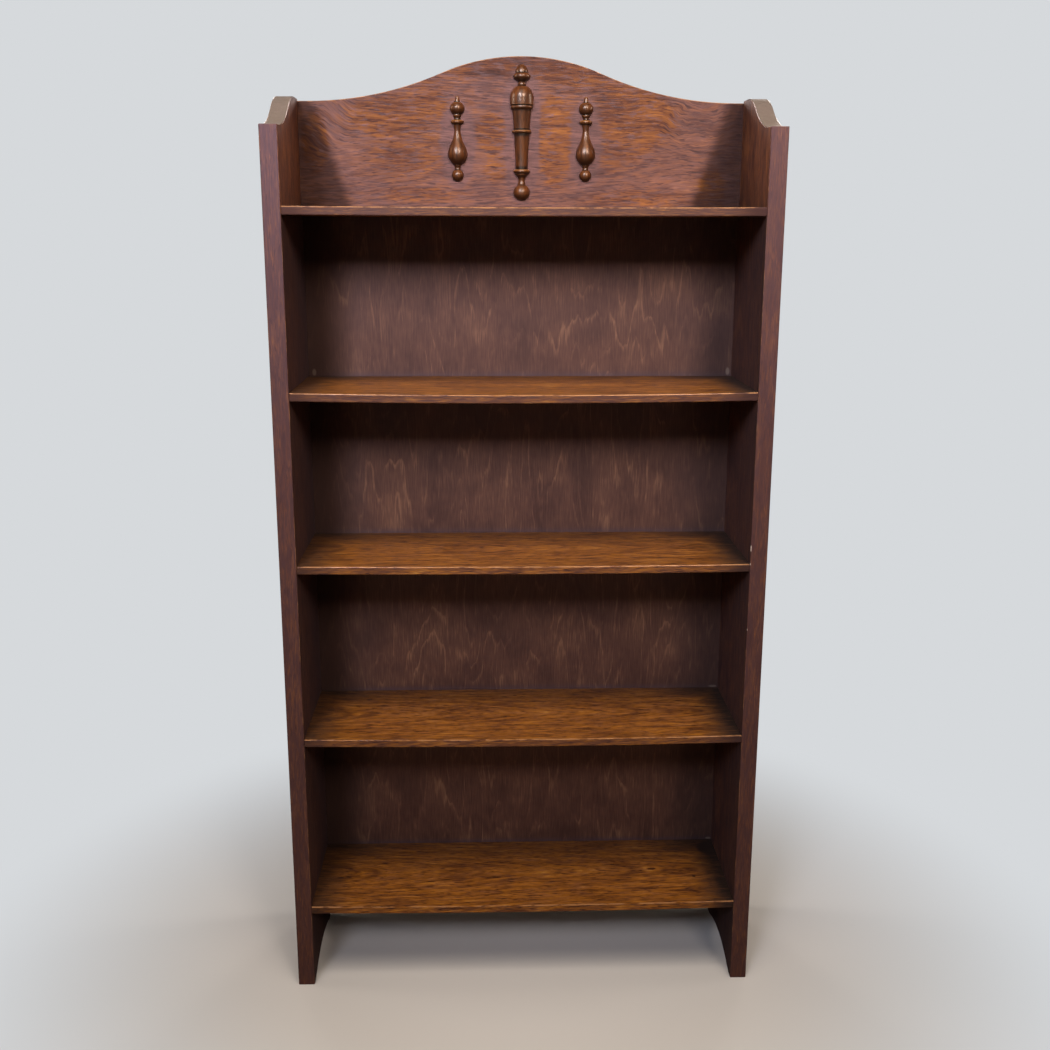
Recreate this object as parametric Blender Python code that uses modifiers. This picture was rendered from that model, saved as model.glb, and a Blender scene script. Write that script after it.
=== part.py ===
"""Open-front bookcase in stained oak, with a shaped gallery and split turnings.

Units are metres and +Z is up. The origin is on the floor, midway between the sides and midway
through the depth. The front faces -Y, and left and right are those of someone who faces it.
"""

import math

import bmesh
import bpy
from mathutils import Vector

# Carcass
WIDTH = 0.7110
DEPTH = 0.2030
SIDE_THICKNESS = 0.0250
SIDE_CREST_RISE = 0.0500

# Ogee along the top of each side, with a level stretch before and behind it
OGEE_FRONT_FLAT = 0.0080
OGEE_BACK_FLAT = 0.0400
OGEE_COVE_SHARE = 0.60
OGEE_STEPS = 9

# Arch that leaves a front and a rear foot under each side
FOOT_LENGTH = 0.0150
FOOT_ARCH_RISE = 0.0170
FOOT_ARCH_STEPS = 14

# Shelves. A height is that of the upper face at the ends of the shelf, a bay's rise is from one
# upper face to the next, counted from the top bay down, and a dip is that of the front edge.
SHELF_THICKNESS = 0.0120
SHELF_SET_BACK = 0.0008
BOTTOM_SHELF_HEIGHT = 0.1364
BAY_4_RISE = 0.2802
BAY_3_RISE = 0.2699
BAY_2_RISE = 0.2523
BAY_1_RISE = 0.2537
GALLERY_SPACE_RISE = 0.1055
TOP_SHELF_DIP = 0.0011
SECOND_SHELF_DIP = 0.0034
THIRD_SHELF_DIP = 0.0018
FOURTH_SHELF_DIP = 0.0030
BOTTOM_SHELF_DIP = 0.0026
SHELF_BAYS_ALONG = 12

# Stopped housings that take the shelf ends
HOUSING_DEPTH = 0.0080
HOUSING_STOP = 0.0120

# Plywood back and the rebate for it
BACK_THICKNESS = 0.0040
REBATE_WIDTH = 0.0090

# Gallery board
GALLERY_THICKNESS = 0.0130
GALLERY_END_DROP = 0.0030
GALLERY_END_FLAT = 0.0125
GALLERY_ARCH_RISE = 0.0640
GALLERY_CROWN_SHARE = 0.37
GALLERY_STEPS = 12

# Half turnings on the gallery. The centre one fills the board but for a margin above and below.
CENTRE_TURNING_RADIUS = 0.0173
CENTRE_TURNING_TOP_DROP = 0.0110
CENTRE_TURNING_FOOT_GAP = 0.0115
SIDE_TURNING_LENGTH = 0.1210
SIDE_TURNING_RADIUS = 0.0144
SIDE_TURNING_TOP_DROP = 0.0565
SIDE_TURNING_OFFSET = 0.0955
TURNING_STEPS = 24
TURNING_ARC_STEPS = 5

# Stations down each turning: height share, radius share, and the bulge of the stretch below
# as a share of that stretch. A bead bulges out and a cove bulges in.
CENTRE_TURNING_SHARES = (
    (0.000, 0.00, 0.20),
    (0.064, 0.53, 0.00),
    (0.068, 0.60, 0.28),
    (0.113, 0.55, 0.00),
    (0.124, 0.36, -0.17),
    (0.157, 0.43, 0.00),
    (0.168, 0.65, 0.11),
    (0.249, 1.00, 0.01),
    (0.294, 1.00, 0.00),
    (0.298, 0.90, 0.00),
    (0.302, 0.93, 0.13),
    (0.323, 0.91, 0.00),
    (0.334, 0.80, -0.01),
    (0.477, 0.67, 0.00),
    (0.480, 0.78, 0.25),
    (0.500, 0.78, 0.00),
    (0.504, 0.67, -0.01),
    (0.766, 0.52, 0.00),
    (0.769, 0.65, 0.25),
    (0.794, 0.65, 0.00),
    (0.798, 0.56, 0.12),
    (0.816, 0.47, 0.00),
    (0.818, 0.41, -0.16),
    (0.884, 0.38, 0.38),
    (1.000, 0.00, 0.00),
)
SIDE_TURNING_SHARES = (
    (0.000, 0.00, 0.20),
    (0.015, 0.19, 0.00),
    (0.065, 0.27, 0.00),
    (0.074, 0.47, 0.24),
    (0.204, 0.49, 0.00),
    (0.208, 0.40, 0.12),
    (0.239, 0.38, 0.00),
    (0.244, 0.34, -0.10),
    (0.271, 0.35, 0.00),
    (0.276, 0.56, 0.28),
    (0.319, 0.57, 0.00),
    (0.325, 0.40, -0.03),
    (0.408, 0.32, -0.05),
    (0.561, 0.72, 0.06),
    (0.673, 1.00, 0.14),
    (0.800, 0.40, 0.00),
    (0.822, 0.34, 0.00),
    (0.826, 0.30, -0.10),
    (0.860, 0.33, 0.38),
    (1.000, 0.00, 0.00),
)

# Panel pins in the back, and longer pins at the ends of the gallery
PIN_SHANK_RADIUS = 0.0008
PIN_HEAD_RADIUS = 0.0016
PIN_HEAD_DEPTH = 0.0008
PIN_POINT_LENGTH = 0.0020
PIN_STEPS = 8
BACK_PIN_LENGTH = 0.0200
GALLERY_PIN_LENGTH = 0.0300
BAY_PIN_SHARES = (0.25, 0.75)
SHELF_PIN_SHARES = (-0.38, 0.0, 0.38)
GALLERY_PIN_SHARES = (0.22, 0.78)

# Finishing and fitting
ARRIS = 0.0010
SHELF_ARRIS = 0.0014
ARRIS_SEGMENTS = 2
ARRIS_ROUND_SHARE = 0.5
CLEARANCE = 0.0003
OVERRUN = 0.0050
WELD_DISTANCE = 0.00001
FLAT_ANGLE = math.radians(0.05)
CORNER_ANGLE = math.radians(40)

# Places worked out from the sizes above
FRONT = -DEPTH / 2
BACK = DEPTH / 2
INNER_HALF = WIDTH / 2 - SIDE_THICKNESS
BACK_PANEL_FRONT = BACK - BACK_THICKNESS
GALLERY_FRONT = BACK - GALLERY_THICKNESS
FOURTH_SHELF_HEIGHT = BOTTOM_SHELF_HEIGHT + BAY_4_RISE
THIRD_SHELF_HEIGHT = FOURTH_SHELF_HEIGHT + BAY_3_RISE
SECOND_SHELF_HEIGHT = THIRD_SHELF_HEIGHT + BAY_2_RISE
TOP_SHELF_HEIGHT = SECOND_SHELF_HEIGHT + BAY_1_RISE
SIDE_FRONT_HEIGHT = TOP_SHELF_HEIGHT + GALLERY_SPACE_RISE
CREST_HEIGHT = SIDE_FRONT_HEIGHT + SIDE_CREST_RISE
GALLERY_END_HEIGHT = CREST_HEIGHT - GALLERY_END_DROP
GALLERY_TOP_HEIGHT = GALLERY_END_HEIGHT + GALLERY_ARCH_RISE
GALLERY_ARCH_HALF_RUN = INNER_HALF - GALLERY_END_FLAT
CENTRE_TURNING_TOP = GALLERY_TOP_HEIGHT - CENTRE_TURNING_TOP_DROP
CENTRE_TURNING_LENGTH = CENTRE_TURNING_TOP - CENTRE_TURNING_FOOT_GAP - TOP_SHELF_HEIGHT
SIDE_TURNING_TOP = GALLERY_TOP_HEIGHT - SIDE_TURNING_TOP_DROP

SHELVES = (
    ("shelf_top", TOP_SHELF_HEIGHT, TOP_SHELF_DIP),
    ("shelf_second", SECOND_SHELF_HEIGHT, SECOND_SHELF_DIP),
    ("shelf_third", THIRD_SHELF_HEIGHT, THIRD_SHELF_DIP),
    ("shelf_fourth", FOURTH_SHELF_HEIGHT, FOURTH_SHELF_DIP),
    ("shelf_bottom", BOTTOM_SHELF_HEIGHT, BOTTOM_SHELF_DIP),
)

# Turns a flat outline, drawn in X and Y, to stand across the bookcase or along its depth
FACING_FRONT = (math.radians(90), 0, 0)
FACING_SIDEWAYS = (math.radians(90), 0, math.radians(90))
DRIVEN_FROM_BACK = (math.radians(-90), 0, 0)


def clear_objects():
    for old in list(bpy.data.objects):
        bpy.data.objects.remove(old, do_unlink=True)


def new_collection(name):
    collection = bpy.data.collections.new(name)
    bpy.context.scene.collection.children.link(collection)
    return collection


def new_material(name, colour, roughness, metallic=0.0):
    material = bpy.data.materials.new(name)
    material.use_nodes = True
    shader = material.node_tree.nodes["Principled BSDF"]
    shader.inputs["Base Color"].default_value = (*colour, 1.0)
    shader.inputs["Roughness"].default_value = roughness
    shader.inputs["Metallic"].default_value = metallic
    return material


def arc(start, end, bulge_share, steps):
    """Points after start up to end, on an arc that bulges to the left of the way it runs."""
    start = Vector(start)
    end = Vector(end)
    if not bulge_share:
        return [end]
    along = end - start
    chord = along.length
    along.normalize()
    left = Vector((-along.y, along.x))
    middle = (start + end) / 2
    sweep = 4 * math.atan(2 * bulge_share)
    radius = chord / (2 * math.sin(sweep / 2))
    points = []
    for step in range(1, steps + 1):
        angle = sweep * (step / steps - 0.5)
        rise = radius * (math.cos(angle) - math.cos(sweep / 2))
        points.append(middle + along * (radius * math.sin(angle)) + left * rise)
    return points


def ogee(start, end, first_share, steps):
    """Two arcs that meet smoothly and run level at both ends of the curve."""
    start = Vector(start)
    end = Vector(end)
    run = end - start
    heading = Vector((math.copysign(1, run.x), 0))
    turn = math.atan2(heading.cross(run), heading.dot(run))
    bulge_share = math.tan(turn / 2) / 2
    middle = start.lerp(end, first_share)
    return arc(start, middle, -bulge_share, steps) + arc(middle, end, bulge_share, steps)


def mesh_from_curve(curve_object, collection):
    """Replaces a curve object with a closed mesh object in the same place."""
    bpy.context.view_layer.update()
    graph = bpy.context.evaluated_depsgraph_get()
    mesh = bpy.data.meshes.new_from_object(curve_object.evaluated_get(graph))
    edit = bmesh.new()
    edit.from_mesh(mesh)
    bmesh.ops.remove_doubles(edit, verts=edit.verts, dist=WELD_DISTANCE)
    bmesh.ops.dissolve_limit(edit, angle_limit=FLAT_ANGLE, verts=edit.verts, edges=edit.edges)
    edit.to_mesh(mesh)
    edit.free()
    solid = bpy.data.objects.new(curve_object.name + "_solid", mesh)
    collection.objects.link(solid)
    solid.matrix_world = curve_object.matrix_world
    name = curve_object.name
    bpy.data.objects.remove(curve_object, do_unlink=True)
    solid.name = name
    mesh.name = name
    return solid


def flat_board(name, outline, thickness, location, rotation, collection):
    """A board cut to an outline, with its thickness shared equally either side of the outline."""
    curve = bpy.data.curves.new(name, "CURVE")
    curve.dimensions = "2D"
    curve.fill_mode = "BOTH"
    curve.extrude = thickness / 2
    spline = curve.splines.new("POLY")
    spline.points.add(len(outline) - 1)
    for place, point in zip(spline.points, outline):
        place.co = (point[0], point[1], 0, 1)
    spline.use_cyclic_u = True
    board = bpy.data.objects.new(name, curve)
    collection.objects.link(board)
    board.location = location
    board.rotation_euler = rotation
    return mesh_from_curve(board, collection)


def ease_arrises(board, width):
    bevel = board.modifiers.new("arrises", "BEVEL")
    bevel.width = width
    bevel.segments = ARRIS_SEGMENTS
    bevel.limit_method = "ANGLE"
    bevel.angle_limit = CORNER_ANGLE
    bevel.use_clamp_overlap = True
    bevel.harden_normals = False


def block(name, low, high, collection):
    """A rectangular block between two corners."""
    bpy.ops.mesh.primitive_cube_add(size=1)
    made = bpy.context.active_object
    made.name = name
    low = Vector(low)
    high = Vector(high)
    size = high - low
    made.data.transform(((size.x, 0, 0, 0), (0, size.y, 0, 0), (0, 0, size.z, 0), (0, 0, 0, 1)))
    made.location = (low + high) / 2
    for holder in list(made.users_collection):
        holder.objects.unlink(made)
    collection.objects.link(made)
    return made


def as_cutter(cutter):
    cutter.hide_render = True
    cutter.display_type = "WIRE"
    return cutter


def cut(solid, cutter, operation="DIFFERENCE"):
    boolean = solid.modifiers.new(cutter.name, "BOOLEAN")
    boolean.operation = operation
    boolean.solver = "EXACT"
    boolean.object = as_cutter(cutter)


def turned(name, profile, steps, location, rotation, collection):
    """A profile of radius and height, listed from the top down, turned about Z."""
    mesh = bpy.data.meshes.new(name)
    vertices = [(radius, 0, height) for radius, height in profile]
    edges = [(place, place + 1) for place in range(len(profile) - 1)]
    mesh.from_pydata(vertices, edges, [])
    piece = bpy.data.objects.new(name, mesh)
    collection.objects.link(piece)
    piece.location = location
    piece.rotation_euler = rotation
    screw = piece.modifiers.new("turning", "SCREW")
    screw.axis = "Z"
    screw.steps = steps
    screw.render_steps = steps
    screw.use_merge_vertices = True
    screw.merge_threshold = WELD_DISTANCE
    screw.use_smooth_shade = True
    return piece


def side_outline():
    """Outline of a side, from front to back and from the floor up."""
    points = [Vector((FRONT, 0)), Vector((FRONT + FOOT_LENGTH, 0))]
    arch_end = (BACK - FOOT_LENGTH, 0)
    arch_share = FOOT_ARCH_RISE / (DEPTH - 2 * FOOT_LENGTH)
    points += arc(points[-1], arch_end, arch_share, FOOT_ARCH_STEPS)
    points += [Vector((BACK, 0)), Vector((BACK, CREST_HEIGHT))]
    ogee_front = (FRONT + OGEE_FRONT_FLAT, SIDE_FRONT_HEIGHT)
    ogee_back = (BACK - OGEE_BACK_FLAT, CREST_HEIGHT)
    points += [Vector(ogee_back)]
    points += ogee(ogee_back, ogee_front, 1 - OGEE_COVE_SHARE, OGEE_STEPS)
    points += [Vector((FRONT, SIDE_FRONT_HEIGHT))]
    return points


def make_side(name, hand, parts, cutters):
    """hand is -1 for the left side and 1 for the right."""
    middle = hand * (WIDTH / 2 - SIDE_THICKNESS / 2)
    side = flat_board(name, side_outline(), SIDE_THICKNESS, (middle, 0, 0), FACING_SIDEWAYS, parts)
    ease_arrises(side, ARRIS)
    inner_face = hand * (INNER_HALF - OVERRUN)
    housing_floor = hand * (INNER_HALF + HOUSING_DEPTH)
    rebate_floor = hand * (INNER_HALF + REBATE_WIDTH)
    for shelf_name, height, dip in SHELVES:
        low = height - SHELF_THICKNESS - CLEARANCE
        high = height + CLEARANCE
        housing = block(
            f"{name}_housing_for_{shelf_name}",
            (min(inner_face, housing_floor), FRONT + HOUSING_STOP, low),
            (max(inner_face, housing_floor), BACK + OVERRUN, high),
            cutters,
        )
        cut(side, housing)
    back_rebate = block(
        f"{name}_back_rebate",
        (min(inner_face, rebate_floor), BACK_PANEL_FRONT, -OVERRUN),
        (max(inner_face, rebate_floor), BACK + OVERRUN, TOP_SHELF_HEIGHT + CLEARANCE / 2),
        cutters,
    )
    cut(side, back_rebate)
    gallery_rebate = block(
        f"{name}_gallery_rebate",
        (min(inner_face, rebate_floor), GALLERY_FRONT, TOP_SHELF_HEIGHT),
        (max(inner_face, rebate_floor), BACK + OVERRUN, CREST_HEIGHT + OVERRUN),
        cutters,
    )
    cut(side, gallery_rebate)
    return side


def shelf_outline():
    """Plan of a shelf, notched in front where the housings stop."""
    front = FRONT + SHELF_SET_BACK
    notch = FRONT + HOUSING_STOP + CLEARANCE
    back = BACK_PANEL_FRONT
    inner = INNER_HALF - CLEARANCE
    outer = INNER_HALF + HOUSING_DEPTH - CLEARANCE
    right = [(inner, front), (inner, notch), (outer, notch), (outer, back)]
    left = [(-across, deep) for across, deep in reversed(right)]
    return right + left


def ease_front_and_settle(shelf, dip):
    """Rounds the two front arrises, then lets the middle of the front edge down."""
    front = FRONT + SHELF_SET_BACK
    back = BACK_PANEL_FRONT
    edit = bmesh.new()
    edit.from_mesh(shelf.data)
    arrises = [
        edge
        for edge in edit.edges
        if all(abs(corner.co.y - front) < WELD_DISTANCE for corner in edge.verts)
        and abs(edge.verts[0].co.z - edge.verts[1].co.z) < WELD_DISTANCE
    ]
    bmesh.ops.bevel(
        edit,
        geom=arrises,
        offset=SHELF_ARRIS,
        segments=ARRIS_SEGMENTS,
        profile=ARRIS_ROUND_SHARE,
        affect="EDGES",
    )
    for station in range(1, SHELF_BAYS_ALONG):
        across = INNER_HALF * (2 * station / SHELF_BAYS_ALONG - 1)
        bmesh.ops.bisect_plane(
            edit,
            geom=edit.verts[:] + edit.edges[:] + edit.faces[:],
            dist=WELD_DISTANCE,
            plane_co=(across, 0, 0),
            plane_no=(1, 0, 0),
        )
    for corner in edit.verts:
        across_share = min(abs(corner.co.x) / INNER_HALF, 1)
        front_share = (back - corner.co.y) / (back - front)
        corner.co.z -= dip * (1 - across_share ** 2) * front_share
    edit.to_mesh(shelf.data)
    edit.free()


def make_shelf(name, height, dip, parts):
    middle = height - SHELF_THICKNESS / 2
    shelf = flat_board(name, shelf_outline(), SHELF_THICKNESS, (0, 0, middle), (0, 0, 0), parts)
    ease_front_and_settle(shelf, dip)
    return shelf


def gallery_outline():
    """Front view of the gallery board, with level ends and an arched crown."""
    half = INNER_HALF + REBATE_WIDTH - CLEARANCE
    bottom = TOP_SHELF_HEIGHT + CLEARANCE
    foot_of_arch = (GALLERY_ARCH_HALF_RUN, GALLERY_END_HEIGHT)
    crown = (0, GALLERY_TOP_HEIGHT)
    right = [Vector((half, bottom)), Vector((half, GALLERY_END_HEIGHT)), Vector(foot_of_arch)]
    right += ogee(foot_of_arch, crown, 1 - GALLERY_CROWN_SHARE, GALLERY_STEPS)
    left = [Vector((-point.x, point.y)) for point in reversed(right[:-1])]
    return right + left


def make_gallery(parts):
    middle = BACK - GALLERY_THICKNESS / 2 + CLEARANCE / 2
    thickness = GALLERY_THICKNESS - CLEARANCE
    gallery = flat_board(
        "gallery_board", gallery_outline(), thickness, (0, middle, 0), FACING_FRONT, parts
    )
    ease_arrises(gallery, ARRIS)
    return gallery


def make_back_panel(parts):
    half = INNER_HALF + REBATE_WIDTH - CLEARANCE
    bottom = BOTTOM_SHELF_HEIGHT - SHELF_THICKNESS
    panel = block(
        "back_panel",
        (-half, BACK_PANEL_FRONT + CLEARANCE, bottom),
        (half, BACK, TOP_SHELF_HEIGHT),
        parts,
    )
    return panel


def turning_profile(length, radius, shares):
    """Radius and height of each point, from the finial down to the ball."""
    stations = [Vector((radius * out, -length * down)) for down, out, bulge in shares]
    points = [stations[0]]
    for place, (down, out, bulge) in enumerate(shares[:-1]):
        points += arc(stations[place], stations[place + 1], bulge, TURNING_ARC_STEPS)
    points[-1] = Vector((0, -length))
    return [(point.x, point.y) for point in points]


def make_turning(name, length, radius, shares, across, top, parts, cutters):
    """Turned whole, then split along its length so that a flat back lies on the gallery."""
    face = GALLERY_FRONT
    profile = turning_profile(length, radius, shares)
    turning = turned(name, profile, TURNING_STEPS, (across, face, top), (0, 0, 0), parts)
    rear_half = block(
        f"{name}_rear_half",
        (across - radius - OVERRUN, face, top - length - OVERRUN),
        (across + radius + OVERRUN, face + radius + OVERRUN, top + OVERRUN),
        cutters,
    )
    cut(turning, rear_half)
    return turning


def pin_profile(length, allowance):
    """A flat-headed pin, head at the top, grown all over by an allowance."""
    head = PIN_HEAD_RADIUS + allowance
    shank = PIN_SHANK_RADIUS + allowance
    neck = -PIN_HEAD_DEPTH - allowance
    top = OVERRUN if allowance else 0
    shoulder = -length + PIN_POINT_LENGTH - allowance
    return [
        (0, top),
        (head, top),
        (head, neck),
        (shank, neck),
        (shank, shoulder),
        (0, -length - allowance),
    ]


def drive_pin(name, length, across, height, through, into, parts, cutters):
    """Sets a pin flush in the back face, with a hole for it in each piece that it passes."""
    place = (across, BACK, height)
    pin = turned(name, pin_profile(length, 0), PIN_STEPS, place, DRIVEN_FROM_BACK, parts)
    hole = turned(
        f"{name}_hole",
        pin_profile(length, CLEARANCE),
        PIN_STEPS,
        place,
        DRIVEN_FROM_BACK,
        cutters,
    )
    cut(through, hole)
    cut(into, hole)
    return pin


def pin_the_back(panel, sides, shelves, parts, cutters):
    pins = []
    for place, (name, height, dip) in enumerate(SHELVES):
        for share in SHELF_PIN_SHARES:
            pins.append((2 * INNER_HALF * share, height - SHELF_THICKNESS / 2, shelves[place]))
    for upper, lower in zip(SHELVES[:-1], SHELVES[1:]):
        ceiling = upper[1] - SHELF_THICKNESS
        for share in BAY_PIN_SHARES:
            height = lower[1] + (ceiling - lower[1]) * share
            for hand, side in sides.items():
                pins.append((hand * (INNER_HALF + REBATE_WIDTH / 2), height, side))
    made = []
    for number, (across, height, into) in enumerate(pins, start=1):
        name = f"back_pin_{number:02d}"
        made.append(
            drive_pin(name, BACK_PIN_LENGTH, across, height, panel, into, parts, cutters)
        )
    return made


def pin_the_gallery(gallery, sides, parts, cutters):
    made = []
    for hand, side in sides.items():
        for share in GALLERY_PIN_SHARES:
            height = TOP_SHELF_HEIGHT + (GALLERY_END_HEIGHT - TOP_SHELF_HEIGHT) * share
            across = hand * (INNER_HALF + REBATE_WIDTH / 2)
            name = f"gallery_pin_{len(made) + 1}"
            made.append(
                drive_pin(name, GALLERY_PIN_LENGTH, across, height, gallery, side, parts, cutters)
            )
    return made


def finish_pieces(pieces, material, frame):
    for piece in pieces:
        piece.data.materials.clear()
        piece.data.materials.append(material)
        piece.parent = frame


def build():
    clear_objects()
    parts = new_collection("open_front_bookcase")
    cutters = new_collection("cutters")
    frame = bpy.data.objects.new("bookcase_frame", None)
    parts.objects.link(frame)

    sides = {
        -1: make_side("side_left", -1, parts, cutters),
        1: make_side("side_right", 1, parts, cutters),
    }
    shelves = [make_shelf(name, height, dip, parts) for name, height, dip in SHELVES]
    gallery = make_gallery(parts)
    panel = make_back_panel(parts)
    turnings = [
        make_turning(
            "turning_centre",
            CENTRE_TURNING_LENGTH,
            CENTRE_TURNING_RADIUS,
            CENTRE_TURNING_SHARES,
            0,
            CENTRE_TURNING_TOP,
            parts,
            cutters,
        )
    ]
    for name, hand in (("turning_left", -1), ("turning_right", 1)):
        turnings.append(
            make_turning(
                name,
                SIDE_TURNING_LENGTH,
                SIDE_TURNING_RADIUS,
                SIDE_TURNING_SHARES,
                hand * SIDE_TURNING_OFFSET,
                SIDE_TURNING_TOP,
                parts,
                cutters,
            )
        )
    pins = pin_the_back(panel, sides, shelves, parts, cutters)
    pins += pin_the_gallery(gallery, sides, parts, cutters)

    finish_pieces(sides.values(), new_material("stained_oak_side", (0.075, 0.028, 0.016), 0.38), frame)
    finish_pieces(shelves, new_material("stained_oak_shelf", (0.110, 0.040, 0.016), 0.38), frame)
    finish_pieces([gallery], new_material("stained_oak_gallery", (0.150, 0.042, 0.014), 0.34), frame)
    finish_pieces(turnings, new_material("stained_oak_turning", (0.080, 0.026, 0.012), 0.30), frame)
    finish_pieces([panel], new_material("stained_plywood", (0.055, 0.026, 0.018), 0.55), frame)
    finish_pieces(pins, new_material("steel_pin", (0.300, 0.290, 0.280), 0.45, 1.0), frame)


build()
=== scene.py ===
"""Finish, light and camera for an open-front bookcase in stained and waxed oak.

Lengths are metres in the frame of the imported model: +Z is up and the front faces -Y. The patterns in
the materials are set out in millimetres, from places on the pieces themselves.
"""

import math
from collections import namedtuple

import bmesh
import bpy
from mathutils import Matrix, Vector


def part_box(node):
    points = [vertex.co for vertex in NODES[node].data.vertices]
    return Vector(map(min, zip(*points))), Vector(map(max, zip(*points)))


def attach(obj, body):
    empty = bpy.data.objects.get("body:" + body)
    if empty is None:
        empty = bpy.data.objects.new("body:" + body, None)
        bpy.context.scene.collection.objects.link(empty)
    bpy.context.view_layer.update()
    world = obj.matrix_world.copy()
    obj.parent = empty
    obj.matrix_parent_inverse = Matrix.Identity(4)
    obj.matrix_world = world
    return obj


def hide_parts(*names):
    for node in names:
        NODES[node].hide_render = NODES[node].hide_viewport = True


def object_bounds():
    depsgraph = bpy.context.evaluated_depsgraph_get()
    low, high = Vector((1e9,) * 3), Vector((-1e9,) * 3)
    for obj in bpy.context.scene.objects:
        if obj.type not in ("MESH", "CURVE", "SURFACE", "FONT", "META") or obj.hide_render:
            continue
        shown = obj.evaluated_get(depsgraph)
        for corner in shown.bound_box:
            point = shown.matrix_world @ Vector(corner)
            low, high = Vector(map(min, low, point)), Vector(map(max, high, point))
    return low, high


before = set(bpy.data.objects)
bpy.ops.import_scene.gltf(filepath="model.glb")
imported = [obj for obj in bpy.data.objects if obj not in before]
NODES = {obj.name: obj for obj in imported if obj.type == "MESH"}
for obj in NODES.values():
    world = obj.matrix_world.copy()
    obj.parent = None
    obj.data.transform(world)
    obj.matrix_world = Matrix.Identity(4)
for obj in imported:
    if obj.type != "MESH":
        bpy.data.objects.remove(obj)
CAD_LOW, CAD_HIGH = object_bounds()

MILLIMETRES = 1000.0
SIDE_NAMES = ("side_left", "side_right")
SHELF_NAMES = ("shelf_top", "shelf_second", "shelf_third", "shelf_fourth", "shelf_bottom")
SHELF_BOXES = [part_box(shelf) for shelf in SHELF_NAMES]
TURNING_NAMES = ("turning_centre", "turning_left", "turning_right")

# Half of the clear width between the sides, the front of the plywood, and the depth to it, in millimetres
CLEAR_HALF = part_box("side_right")[0].x * MILLIMETRES
BACK_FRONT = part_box("back_panel")[0].y * MILLIMETRES
CLEAR_DEPTH = BACK_FRONT - CAD_LOW.y * MILLIMETRES

# Kinds of shader node
PLACE = "ShaderNodeTexCoord"
SURFACE = "ShaderNodeNewGeometry"
ATTRIBUTE = "ShaderNodeAttribute"
SPLIT = "ShaderNodeSeparateXYZ"
JOIN = "ShaderNodeCombineXYZ"
MAPPING = "ShaderNodeMapping"
VECTOR_MATH = "ShaderNodeVectorMath"
MATH = "ShaderNodeMath"
NOISE = "ShaderNodeTexNoise"
WHITE_NOISE = "ShaderNodeTexWhiteNoise"
GRADIENT = "ShaderNodeTexGradient"
RANGE = "ShaderNodeMapRange"
RAMP = "ShaderNodeValToRGB"
MIX = "ShaderNodeMix"
BUMP = "ShaderNodeBump"
PRINCIPLED = "ShaderNodeBsdfPrincipled"
DIFFUSE = "ShaderNodeBsdfDiffuse"
EMISSION = "ShaderNodeEmission"
LIGHT_PATH = "ShaderNodeLightPath"
MIX_SHADER = "ShaderNodeMixShader"
OUTPUT = "ShaderNodeOutputMaterial"


def colour(code):
    """The linear colour of an sRGB hex code."""
    linear = []
    for start in (1, 3, 5):
        part = int(code[start:start + 2], 16) / 255
        linear.append(part / 12.92 if part <= 0.04045 else ((part + 0.055) / 1.055) ** 2.4)
    return (*linear, 1.0)


def add_node(tree, kind, inputs=None, stops=None, **settings):
    """Adds a node with its settings. Inputs are values, sockets or nodes, by socket name or number."""
    node = tree.nodes.new(kind)
    for name, value in settings.items():
        setattr(node, name, value)
    if stops:
        elements = node.color_ramp.elements
        while len(elements) < len(stops):
            elements.new(1.0)
        for element, (place, code) in zip(elements, stops):
            element.position = place
            element.color = colour(code)
    for name, value in (inputs or {}).items():
        if isinstance(name, int):
            socket = node.inputs[name]
        else:
            socket = next(each for each in node.inputs if each.enabled and each.name == name)
        if isinstance(value, bpy.types.Node):
            value = next(each for each in value.outputs if each.enabled)
        if isinstance(value, bpy.types.NodeSocket):
            tree.links.new(value, socket)
        else:
            socket.default_value = value
    return node


def new_material(name):
    material = bpy.data.materials.new(name)
    material.use_nodes = True
    material.node_tree.nodes.clear()
    return material, material.node_tree


def dress(piece, material):
    piece.data.materials.clear()
    piece.data.materials.append(material)
    for face in piece.data.polygons:
        face.material_index = 0


# Patterns that the materials share

# A figure in wood or metal: its length along the grain and its width across it in millimetres, how fine
# and how uneven its parts are, and how far it is warped
Figure = namedtuple("Figure", "length width detail unevenness warp", defaults=[0.0])

# A mark lies at a place on a board, in millimetres from the middle of the piece, along and across its
# grain, and reaches so far each way. Its strength is what it adds where it is fullest.
Mark = namedtuple("Mark", "along across half_length half_width strength")

# A mark is full over this share of its reach
MARK_CORE_SHARE = 0.45


def placed(tree, middle, order):
    """Where a point lies on its piece, in millimetres from a middle that is given in metres.

    Gives the parts along X, Y and Z by name, and the place with its axes in the order of the grain:
    along it, across it and through the board.
    """
    place = add_node(tree, PLACE)
    scaled = add_node(
        tree, VECTOR_MATH, {0: place.outputs["Object"], "Scale": MILLIMETRES}, operation="SCALE"
    )
    centred = add_node(tree, VECTOR_MATH, {0: scaled, 1: middle * MILLIMETRES}, operation="SUBTRACT")
    axes = add_node(tree, SPLIT, {0: centred}).outputs
    along, across, through = order
    grain = add_node(tree, JOIN, {"X": axes[along], "Y": axes[across], "Z": axes[through]})
    return axes, grain


def facing_parts(tree):
    """The parts along X, Y and Z of the way a face looks."""
    surface = add_node(tree, SURFACE)
    return add_node(tree, SPLIT, {0: surface.outputs["True Normal"]}).outputs


def streaks(tree, grain, figure):
    """Soft streaks of a figure, drawn out along the grain."""
    shrunk = (1 / figure.length, 1 / figure.width, 1 / figure.width)
    return add_node(
        tree,
        NOISE,
        {
            "Vector": add_node(tree, MAPPING, {"Vector": grain, "Scale": shrunk}),
            "Scale": 1.0,
            "Detail": figure.detail,
            "Roughness": figure.unevenness,
            "Distortion": figure.warp,
        },
    )


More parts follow.
